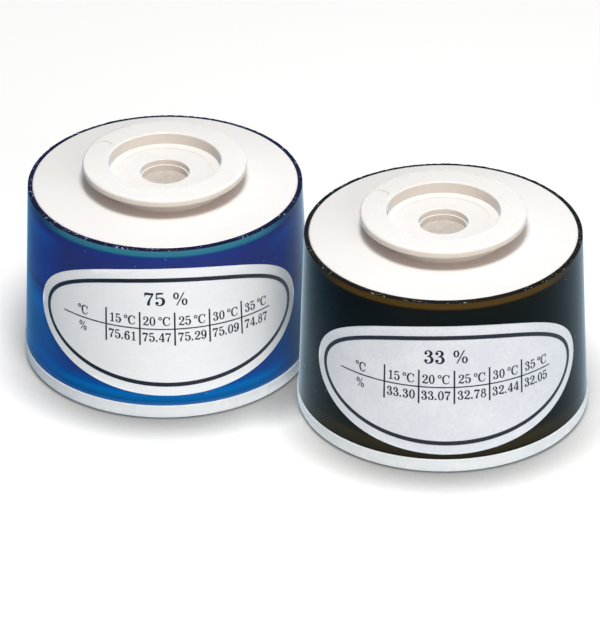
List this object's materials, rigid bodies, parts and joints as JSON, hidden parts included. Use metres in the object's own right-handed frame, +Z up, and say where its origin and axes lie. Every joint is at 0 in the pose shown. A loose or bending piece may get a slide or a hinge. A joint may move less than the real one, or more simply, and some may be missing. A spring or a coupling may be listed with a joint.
{
  "type": "humidity reference jar pair",
  "caption": "Small round humidity reference jars, side by side, with tapered coloured jackets, white decks, flanged collars with a probe recess, and oval labels.",
  "frame": {"origin": "on the table, midway between the two jars' axes", "axes": "+X to the right along the longer side of the pair with the labels facing -Y, +Y away from the viewer, +Z up along the jars' axes"},
  "size_m": [0.0932, 0.065, 0.0354],
  "materials": {
    "blue_jacket": "glossy deep blue translucent plastic, rough-cut top edge",
    "black_jacket": "glossy smoke-black translucent plastic, rough-cut top edge",
    "white_deck": "fine satin white moulding",
    "white_collar": "satin warm white moulding with ejector marks",
    "membrane": "matt pale grey-beige felt-like membrane",
    "milky_base": "milky translucent moulding, satin",
    "silver_label": "silver-white printed film",
    "rubber_seal": "black nitrile",
    "pot_plastic": "natural white moulding",
    "damp_salt": "damp crystalline salt"
  },
  "bodies": {
    "black_jar": {"black_base_plate": "milky_base", "black_base_seal": "rubber_seal", "black_jacket": "black_jacket", "black_deck_seal": "rubber_seal", "black_top_deck": "white_deck", "black_salt_pot": "pot_plastic", "black_salt_bed": "damp_salt", "black_label": "silver_label"},
    "black_collar": {"black_probe_collar": "white_collar", "black_collar_seal": "rubber_seal", "black_vapour_membrane": "membrane", "black_membrane_retainer": "white_collar"},
    "blue_jar": {"blue_base_plate": "milky_base", "blue_base_seal": "rubber_seal", "blue_jacket": "blue_jacket", "blue_deck_seal": "rubber_seal", "blue_top_deck": "white_deck", "blue_salt_pot": "pot_plastic", "blue_salt_bed": "damp_salt", "blue_label": "silver_label"},
    "blue_collar": {"blue_probe_collar": "white_collar", "blue_collar_seal": "rubber_seal", "blue_vapour_membrane": "membrane", "blue_membrane_retainer": "white_collar"}
  },
  "joints": [
    {"name": "black_collar_pull", "type": "slide", "parent": "black_jar", "child": "black_collar", "axis": [0, 0, 1], "range_m": [0, 0.012]},
    {"name": "blue_jar_lift", "type": "slide", "parent": "black_jar", "child": "blue_jar", "axis": [0, 0, 1], "range_m": [0, 0.04]},
    {"name": "blue_collar_pull", "type": "slide", "parent": "blue_jar", "child": "blue_collar", "axis": [0, 0, 1], "range_m": [0, 0.012]}
  ]
}
